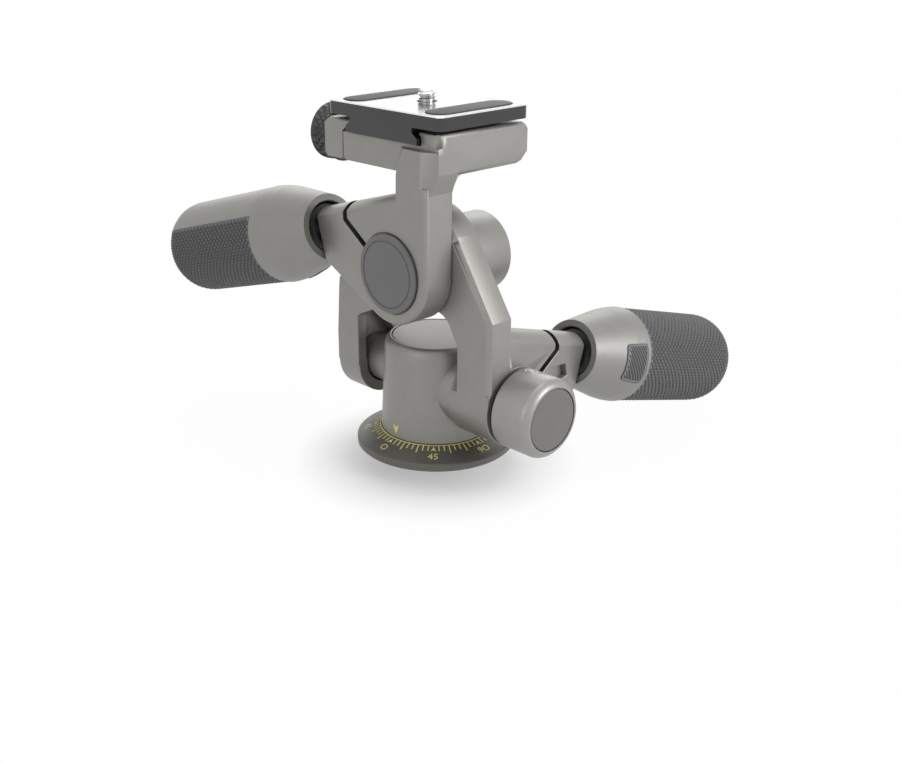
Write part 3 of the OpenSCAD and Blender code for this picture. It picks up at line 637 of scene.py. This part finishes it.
def widen_slot(bm, across, up, foot):
    """Opens a saw cut from 1.2 to 2 mm by moving its two walls apart.

    across and up are the axes that the clamp's side is drawn in; foot is the
    joint's place on them. The walls get the mesh's second finish, a near black
    that paints the shade deep inside the cut.
    """
    s, c = math.sin(math.radians(DROOP)), math.cos(math.radians(DROOP))

    def axis_point(along, off):
        return Vector((along * c + off * s, off * c - along * s))

    top, bend, end = axis_point(*CUT_TOP), axis_point(*CUT_BEND), Vector(CUT_END)
    slope = (bend - end).normalized()
    off_end = Vector((-slope.y, slope.x)) * CUT_HALF
    walls = []
    for side in (-1, 1):
        off_top = Vector((side * CUT_HALF, 0))
        off_bend = Vector((side * CUT_HALF, -side * CUT_MITRE))
        walls += [(top, off_top, bend, off_bend),
                  (bend, off_bend, end, off_end * -side)]
    slack, reach = 0.01, 0.03   # share of a wall past its ends; mm off it
    moved = set()
    for v in bm.verts:
        at = Vector((v.co[across] / MM - foot[0], v.co[up] / MM - foot[1]))
        for p, off_p, q, off_q in walls:
            a, b = p + off_p, q + off_q
            t = (at - a).dot(b - a) / (b - a).length_squared
            if -slack <= t <= 1 + slack and (a.lerp(b, t) - at).length < reach:
                move = off_p.lerp(off_q, t) * (CUT_HALF_SHOWN / CUT_HALF - 1.0)
                v.co[across] += move.x * MM
                v.co[up] += move.y * MM
                moved.add(v)
                break
    # the moved walls get the painted shade finish
    for face in bm.faces:
        face.material_index = int(moved.issuperset(face.verts))


# The bracket's upright, mm: its left face, its rear and its front, which leans
# forward by FLARE between two heights to the platform's front.
LEFT_X, REAR_Y, FRONT_Y, DECK_Z = -26.0, -7.5, -22.0, 112.9
FLARE, FLARE_Z, FLARE_TOP_Z, FLARE_W, FLARE_BACK_Y = 2.8, 99.5, 106.3, 11.88, -21.5
LAP = 0.02      # the flare stands out from the face that it covers by this
# The fillet under the platform: where its front end is, and where it goes.
FILLET_Y, FILLET_LOW, FILLET_HIGH, FILLET_X = -23.4, 101.9, 105.15, -10.0
FILLET_MOST_Y, FILLET_TOP_Y, UNDERSIDE_Z = -23.58, -23.2, 105.05
# The rear corner bends forward by REAR_BEND over REAR_RUN, through new points.
REAR_Z, REAR_RUN, REAR_BEND, REAR_POWER = 103.0, 10.6, 4.0, 1.6
REAR_POINTS = (104.5, 107.5, 110.5)
SIDE_FACET_Y, SIDE_FACET_NORMAL = -18.6, (-6.4, -3.0, 0)
EAR_BACK, EAR_BACK_NORMAL = (0, 39.3 * MM, 36 * MM), Vector((0, 21.8, 1.6))


def near(value, target):
    return abs(value - target) < 0.02


def on_rear_corner(v):
    return near(v.co.x / MM, LEFT_X) and near(v.co.y / MM, REAR_Y)


def flare_fillet(bm):
    """Moves the fillet's front end onto the upright's front as it widens."""
    for v in bm.verts:
        x, y, z = v.co / MM
        if near(y, FILLET_Y) and FILLET_LOW < z < FILLET_HIGH and x < FILLET_X:
            slope = FRONT_Y - (z - FLARE_Z) * FLARE / (FLARE_TOP_Z - FLARE_Z)
            below = z < UNDERSIDE_Z
            v.co.y = (max(slope, FILLET_MOST_Y) if below else FILLET_TOP_Y) * MM


def bend_rear_corner(bm):
    """Curves the upright's rear corner forward under the platform."""
    for z in REAR_POINTS:
        edges = [e for e in bm.edges if all(on_rear_corner(v) for v in e.verts)]
        bmesh.ops.bisect_plane(bm, geom=edges, dist=CLOSE,
                               plane_co=(0, 0, z * MM), plane_no=(0, 0, 1))
    rear = [v for v in bm.verts if on_rear_corner(v) and v.co.z > REAR_Z * MM]
    for v in rear:
        rise = (v.co.z / MM - REAR_Z) / REAR_RUN
        v.co.y -= REAR_BEND * MM * rise ** REAR_POWER
    bent = [f for f in bm.faces if any(v in rear for v in f.verts)]
    bmesh.ops.connect_verts_nonplanar(bm, angle_limit=math.radians(1), faces=bent)
    bmesh.ops.dissolve_degenerate(bm, dist=CLOSE, edges=bm.edges)


def flare_wedge():
    """What the upright's front gains as it leans forward to the platform."""
    wedge = bmesh.new()
    front = FRONT_Y - LAP
    corners = [wedge.verts.new((LEFT_X * MM, y * MM, z * MM)) for y, z in (
        (FLARE_BACK_Y, FLARE_Z), (front, FLARE_Z), (front - FLARE, FLARE_TOP_Z),
        (front - FLARE, DECK_Z), (FLARE_BACK_Y, DECK_Z))]
    thicken(wedge, wedge.faces.new(corners), (FLARE_W * MM, 0, 0))
    slice_off(wedge, (LEFT_X * MM, SIDE_FACET_Y * MM, 0), SIDE_FACET_NORMAL)
    return wedge


def bracket_casting():
    """Angled casting: the tilt clamp, the upright and the platform."""
    bm = copy_of("bracket")
    widen_slot(bm, 1, 2, (TILT_Y, TILT_Z))
    flare_fillet(bm)
    bend_rear_corner(bm)
    ease(bm, outer_edges(bm))
    join(bm, flare_wedge())
    piece("tilt_casting", bm, "bracket", casting, cut_painted_shade, angle=CRISP)


def yoke_casting():
    """Arch casting; its rear ear's back is one slope up to the shoulder."""
    bm = copy_of("yoke")
    widen_slot(bm, 0, 2, (0, ROLL_Z))
    slice_off(bm, EAR_BACK, EAR_BACK_NORMAL.normalized(), CLOSE)
    ease(bm, outer_edges(bm))
    piece("roll_casting", bm, "yoke", casting, cut_painted_shade, angle=CRISP)


def jaw_casting():
    bm = copy_of("clamp_jaw")
    ease(bm, outer_edges(bm))
    piece("moving_jaw", bm, "clamp_jaw", casting, angle=CRISP)


def pan_column():
    """Column with its slimmer boss for the roll joint."""
    bm = bmesh.new()
    turned(bm, in_mm((
        (8.05, 6.8), (17, 6.8), (17.2, 6.58), (20.0, 6.58), (20.2, 6.8),
        (18.8, 37.8), (18.5, 39.4), (17.9, 40.7), (17.2, 41.4), (16.6, 41.8),
        (16.2, 41.8), (16.2, 38.7), (8.05, 38.7))), 128)
    boss = bmesh.new()
    turned(boss, in_mm(((9.0, 11), (13.2, 11), (13.2, 19.6), (12.9, 20.3),
                        (12.2, 20.6), (9.0, 20.6))), 96)
    put(boss, shift(0, 0, ROLL_Z) @ TOWARDS_FRONT)
    join(bm, boss)
    piece("pan_column", bm, "column", casting, angle=CRISP)


bracket_casting()
yoke_casting()
jaw_casting()
pan_column()


# ---- knobs and covers ----

def pan_knob():
    """Lock knob under the roll joint: wide chamfer round a sunk insert."""
    spun_piece("pan_knob", "pan_lock_knob", knob_paint, (
        (4.0, 0.0), (13.4, 0.0), (14.2, 0.8), (14.2, 12.9), (14.0, 13.7),
        (13.6, 14.5), (12.3, 15.7), (11.9, 15.85), (11.3, 15.85), (11.3, 14.6),
        (4.0, 14.6)), 128, shift(0, -40.7, ROLL_Z) @ TOWARDS_FRONT)
    spun_piece("pan_knob_insert", "pan_knob_disc", insert_paint, (
        (0, 0), (10.95, 0.0), (10.95, 1.0), (10.75, 1.2), (0, 1.2)),
        96, shift(0, -55.3, ROLL_Z) @ TOWARDS_FRONT, closed=False)


def tilt_cover():
    """Round cover of the tilt joint with one plain ring groove."""
    spun_piece("tilt_cover", "hub_disc", cover_paint, (
        (0, 0), (13.8, 0.0), (13.8, 1.3), (13.5, 1.75), (12.7, 2.0), (11.9, 2.0),
        (11.75, 1.7), (11.35, 1.7), (11.2, 1.95), (0, 1.95)),
        128, shift(-25.4, TILT_Y, TILT_Z) @ TOWARDS_LEFT, angle=20.0, closed=False)


def jaw_knob():
    """Clamp knob: coarse diamond knurl between two plain chamfers."""
    radius, length, lead, depth, steps = 10.0 * MM, 10.2 * MM, 1.4 * MM, 0.85 * MM, 44
    side = stretch([(radius, lead), (radius, length - lead)], TURN * radius / steps)
    inner_end = in_mm(((2.5, 0), (5.5, 0), (5.5, 0.8), (9.4, 0.8)))
    outer_end = in_mm(((8.6, 10.2), (6.6, 10.2), (6.1, 9.6), (2.5, 9.6)))
    bm = bmesh.new()
    turned(bm, inner_end + side + outer_end, steps)
    low = knurl_points(bm, side, len(side) - 1, steps)
    for v in low:
        sink(v, depth)
    crossed(bm, low)
    put(bm, shift(-12.0, 32.2, 111.5) @ TOWARDS_REAR)
    piece("jaw_knob", bm, "clamp_knob", knob_black)
    spun_piece("jaw_knob_plug", "clamp_knob", dark_steel, (
        (0, 0), (2.6, 0), (2.6, 0.3), (2.2, 0.5), (0, 0.5)),
        32, shift(-12.0, 41.4, 111.5) @ TOWARDS_REAR, closed=False, instead=False)


pan_knob()
tilt_cover()
jaw_knob()


# ---- camera plate, its strips and its screw ----

PLATE_X, PLATE_Y, PLATE_TOP, PLATE_W, PLATE_L = -4.2, 0.2, 125.2, 41.6, 55.2
PLATE_CORNER, PLATE_CHAMFER = 3.05, 0.40 * MM


def camera_plate():
    """Slab with a bright cut edge round its top."""
    bm = copy_of("camera_plate")
    rim = []
    for e in outer_edges(bm, 0.2 * MM, 60.0):
        x, y, z = (e.verts[0].co + e.verts[1].co) / 2 / MM
        outside = (abs(x - PLATE_X) > PLATE_W / 2 - PLATE_CORNER
                   or abs(y - PLATE_Y) > PLATE_L / 2 - PLATE_CORNER)
        level = abs(e.verts[0].co.z - e.verts[1].co.z) < 0.01 * MM
        if outside and level and near(z, PLATE_TOP):
            rim.append(e)
    ease(bm, rim, PLATE_CHAMFER, segments=1, material=1)
    piece("camera_slab", bm, "camera_plate", anodised, edge_metal, angle=CRISP)


def grip_strips():
    """Two rubber strips with round ends, let into the plate's top."""
    end_r, half_run, off_centre = 4.75 * MM, 13.25 * MM, 19.75
    thick, sunk, edge_break = 0.75 * MM, 0.4, 0.12 * MM
    bm = bmesh.new()
    for side in (-1, 1):
        ring = bmesh.ops.create_circle(
            bm, cap_ends=True, segments=48, radius=end_r)["verts"]
        for v in ring:
            v.co.x += (1 if v.co.x > 0 else -1) * half_run
        top = thicken(bm, ring[0].link_faces[0], (0, 0, thick))
        bmesh.ops.translate(bm, verts=ring + top, vec=(
            PLATE_X * MM, (PLATE_Y + side * off_centre) * MM,
            (PLATE_TOP - sunk) * MM))
    rim = [e for e in outer_edges(bm, 0.1 * MM)
           if min(v.co.z for v in e.verts) > PLATE_TOP * MM]
    ease(bm, rim, edge_break)
    piece("grip_strips", bm, "plate_pads", pad_rubber, angle=30.0)


def tripod_screw():
    """Camera screw with its real helical thread."""
    pitch, root, crest, turns, per_turn = 1.27 * MM, 2.6 * MM, 3.17 * MM, 2.4, 36
    floor_z = PLATE_TOP * MM
    foot, lead, tip = floor_z - 0.5 * MM, floor_z + 3.5 * MM, floor_z + 4.0 * MM
    bm = copy_of("camera_screw")
    slice_off(bm, (0, 0, foot), (0, 0, 1))
    core = bmesh.new()
    turned(core, [(0, foot), (root, foot), (root, lead), (root - 0.5 * MM, tip),
                  (0, tip)], 48, closed=False)
    low, buried = floor_z + 0.1 * MM, root - 0.1 * MM
    tooth = [core.verts.new((r, 0, z)) for r, z in (
        (buried, low), (crest, low + 0.48 * MM),
        (crest, low + 0.62 * MM), (buried, low + 1.1 * MM))]
    bmesh.ops.spin(core, geom=tooth + looped(core, tooth) + [core.faces.new(tooth)],
                   cent=(0, 0, 0), axis=(0, 0, 1), dvec=(0, 0, pitch / per_turn),
                   angle=math.radians(360 * turns), steps=round(per_turn * turns),
                   use_merge=False, use_duplicate=False)
    put(core, shift(PLATE_X, PLATE_Y, 0))
    join(bm, core)
    piece("tripod_screw", bm, "camera_screw", bright_steel, angle=CRISP)


camera_plate()
grip_strips()
tripod_screw()


# ---- printed dial, index mark and rotation mark, in millimetres ----

CONE_R, CONE_Z, CONE_DROP, CONE_RUN = 20.5, 6.5, 3.5, 8.4
SLOPE = math.atan2(CONE_DROP, CONE_RUN)
DIAL_ZERO = 178.8       # where the first 0 stands, degrees
TICK_R, ARROW_R, NUMERAL_R = 20.8, 23.3, 25.6
TICK_W, TICK_LONG, TICK_SHORT, NUMERAL = 0.42, 3.7, 2.5, 3.9
INK, ROOT = 0.05, 0.02  # how far the print stands out, and goes in
KNOB_R, KNOB_MARK_Y, KNOB_MARK_LEAN = 14.2, -44.6, 8.0


def on_dial(angle, radius):
    """Place on the dial's cone: X round it, Y up its slope, Z off it."""
    a = math.radians(angle)
    out = Vector((math.cos(a), math.sin(a), 0))
    around = Vector((-math.sin(a), math.cos(a), 0))
    rise = -math.cos(SLOPE) * out + math.sin(SLOPE) * Vector((0, 0, 1))
    z = (CONE_Z - (radius - CONE_R) * CONE_DROP / CONE_RUN) * MM
    return axes(around, rise, around.cross(rise),
                out * radius * MM + Vector((0, 0, z)))


def bar(width, length, place):
    """A thin printed bar that hangs down from the place's origin."""
    bm = bmesh.new()
    bmesh.ops.create_cube(bm, size=1.0)
    put(bm, place @ shift(0, -length / 2, INK / 2 - ROOT)
        @ Matrix.Diagonal((width * MM, length * MM, (INK + 2 * ROOT) * MM, 1)))
    return bm


def arrow(width, length, top, place):
    """A printed arrowhead that points along +Y."""
    bm = bmesh.new()
    notch = length * 0.28
    corners = [bm.verts.new((x * MM, y * MM, -ROOT * MM)) for x, y in (
        (0, length), (-width / 2, 0), (0, notch), (width / 2, 0))]
    thicken(bm, bm.faces.new(corners), (0, 0, (top + ROOT) * MM))
    put(bm, place)
    return bm


def numeral(text, place):
    """A printed number as a mesh, centred on the place's origin."""
    curve = bpy.data.curves.new("numeral", "FONT")
    curve.body = text
    curve.size = NUMERAL * MM
    curve.extrude = 0.03 * MM
    curve.align_x = "CENTER"
    curve.align_y = "CENTER"
    curve.resolution_u = 3
    carrier = bpy.data.objects.new("numeral", curve)
    scene.collection.objects.link(carrier)
    mesh = bpy.data.meshes.new_from_object(
        carrier.evaluated_get(bpy.context.evaluated_depsgraph_get()))
    bm = bmesh.new()
    bm.from_mesh(mesh)
    bpy.data.objects.remove(carrier)
    bpy.data.curves.remove(curve)
    bpy.data.meshes.remove(mesh)
    put(bm, place)
    return bm


def dial_marks():
    """Line round the cone's top, a mark each 5 degrees, a number each 45."""
    bm = bmesh.new()
    line = bmesh.new()
    turned(line, in_mm(((20.52, 6.44), (20.85, 6.30), (20.85, 6.38), (20.52, 6.52))),
           144)
    join(bm, line)
    for step in range(72):
        angle = DIAL_ZERO + 5 * step
        if step % 9 == 0:
            join(bm, arrow(1.9, 2.3, INK, on_dial(angle, ARROW_R)))
        else:
            length = TICK_LONG if step % 3 == 0 else TICK_SHORT
            join(bm, bar(TICK_W, length, on_dial(angle, TICK_R)))
    for turn, text in enumerate(("O", "45", "9O", "45") * 2):
        join(bm, numeral(text, on_dial(DIAL_ZERO + 45 * turn, NUMERAL_R)))
    piece("dial_marks", bm, "base_disc", ink_yellow, instead=False)


def index_mark():
    """Arrowhead on the column's foot that points down at the dial."""
    bm = arrow(3.2, 3.9, 0.12, spun("Z", 180))
    put(bm, axes((0, -1, 0), (0, 0, 1), (-1, 0, 0), (-20.02 * MM, 0, 11.9 * MM)))
    piece("index_mark", bm, "column", ink_yellow, instead=False)


def turn_mark():
    """Round arrow about a dot, printed on the lock knob's side."""
    bm = bmesh.new()
    turned(bm, in_mm(((1.75, -ROOT), (2.25, -ROOT), (2.25, INK), (1.75, INK))),
           36, 270, 20)
    dot = bmesh.new()
    turned(dot, in_mm(((0, -ROOT), (1.0, -ROOT), (1.0, INK), (0, INK))), 24,
           closed=False)
    join(bm, dot)
    join(bm, arrow(1.5, 1.5, INK, spun("Z", 290) @ shift(2.0, -0.1, 0)))
    lean = math.radians(KNOB_MARK_LEAN)
    for v in bm.verts:
        across, along, height = v.co
        a = lean - across / (KNOB_R * MM)
        r = KNOB_R * MM + height
        v.co = Vector((r * math.sin(a), KNOB_MARK_Y * MM + along,
                       ROLL_Z * MM + r * math.cos(a)))
    piece("turn_mark", bm, "pan_lock_knob", ink_white, instead=False)


dial_marks()
index_mark()
turn_mark()


# ---- camera, light and floor ----

lens = bpy.data.cameras.new("view")
lens.sensor_width = 36.0
lens.lens = 46.68
lens.shift_x = 0.0217
lens.shift_y = -0.0009
lens.clip_start = 0.01
view = bpy.data.objects.new("view", lens)
view.matrix_world = axes(
    (0.7213, -0.6927, 0.0), (0.25891, 0.26961, 0.92751),
    (-0.64244, -0.66899, 0.37380), (-0.27847, -0.28707, 0.1840))
scene.collection.objects.link(view)
scene.camera = view
scene.view_settings.view_transform = "Standard"

SOFTBOXES = (   # name, place, size, power in watts
    ("key", (0.40, -1.00, 0.50), (0.6, 0.6), 7.4),
    ("fill", (-0.95, -0.10, 0.45), (0.6, 0.6), 1.0),
    ("overhead", (0.15, 0.20, 1.10), (0.9, 0.9), 3.0),
    ("back", (0.75, 0.80, 0.50), (1.1, 0.5), 3.4),
)
AIM = Vector((0, 0, 0.06))
for name, place, size, power in SOFTBOXES:
    lamp = bpy.data.lights.new(name, "AREA")
    lamp.shape = "RECTANGLE"
    lamp.size, lamp.size_y = size
    lamp.energy = power
    made = bpy.data.objects.new(name, lamp)
    made.location = place
    made.rotation_euler = (AIM - Vector(place)).to_track_quat("-Z", "Y").to_euler()
    scene.collection.objects.link(made)


def backdrop_rays(tree):
    """1 for a ray that should see the white backdrop, else 0."""
    path = tree.nodes.new("ShaderNodeLightPath")
    rays = [Val(tree, path.outputs[k]) for k in
            ("Is Camera Ray", "Is Glossy Ray", "Is Transmission Ray")]
    return (rays[0] + rays[1] + rays[2]).over(0.5)


world = bpy.data.worlds.new("studio")
world.use_nodes = True
scene.world = world
sky = world.node_tree.nodes["Background"]
sky.inputs["Color"].default_value = (1, 1, 1, 1)
feed(world.node_tree, sky.inputs["Strength"],
     0.50 + 0.50 * backdrop_rays(world.node_tree))

FLOOR_GAP, FLOOR_SIZE = 0.0005, 6.0
ground = min(cad_box[0][2], 0.0) - FLOOR_GAP
bm = bmesh.new()
bmesh.ops.create_grid(bm, x_segments=1, y_segments=1, size=FLOOR_SIZE)
bmesh.ops.translate(bm, verts=bm.verts, vec=(0, 0, ground))
mesh = bpy.data.meshes.new("floor")
bm.to_mesh(mesh)
bm.free()
floor = bpy.data.objects.new("floor", mesh)
scene.collection.objects.link(floor)

# The floor's own shading shows under the head. It gives way to plain white
# quickly from the base's rim on, and the last of it slowly further out.
UNDER, RIM_R, RISE, RISE_END = 0.37, 0.031, 26.0, 0.97
FAR_R, FAR_RISE, FAR_END = 0.10, 0.5, 0.03
paper = Finish("paper", Roughness=0.9)
tone = paper.grain(0.05, 2.0)
paper.set("Base Color", paper.between(tone, (0.82, 0.82, 0.82), (0.86, 0.86, 0.86)))
sides = paper.sides(paper.place)
far = (sides["X"] * sides["X"] + sides["Y"] * sides["Y"]).root()
close_by = (UNDER + (far - RIM_R).least(0.0) * RISE).most(RISE_END)
beyond = ((far - FAR_R).least(0.0) * FAR_RISE).most(FAR_END)
glow = paper.tree.nodes.new("ShaderNodeEmission")
glow.inputs["Color"].default_value = (1, 1, 1, 1)
glow.inputs["Strength"].default_value = 1.0
blend = paper.tree.nodes.new("ShaderNodeMixShader")
feed(paper.tree, blend.inputs[0], (close_by + beyond) * backdrop_rays(paper.tree))
paper.tree.links.new(paper.shader.outputs[0], blend.inputs[1])
paper.tree.links.new(glow.outputs[0], blend.inputs[2])
paper.tree.links.new(blend.outputs[0],
                     paper.tree.nodes["Material Output"].inputs["Surface"])
mesh.materials.append(paper.mat)
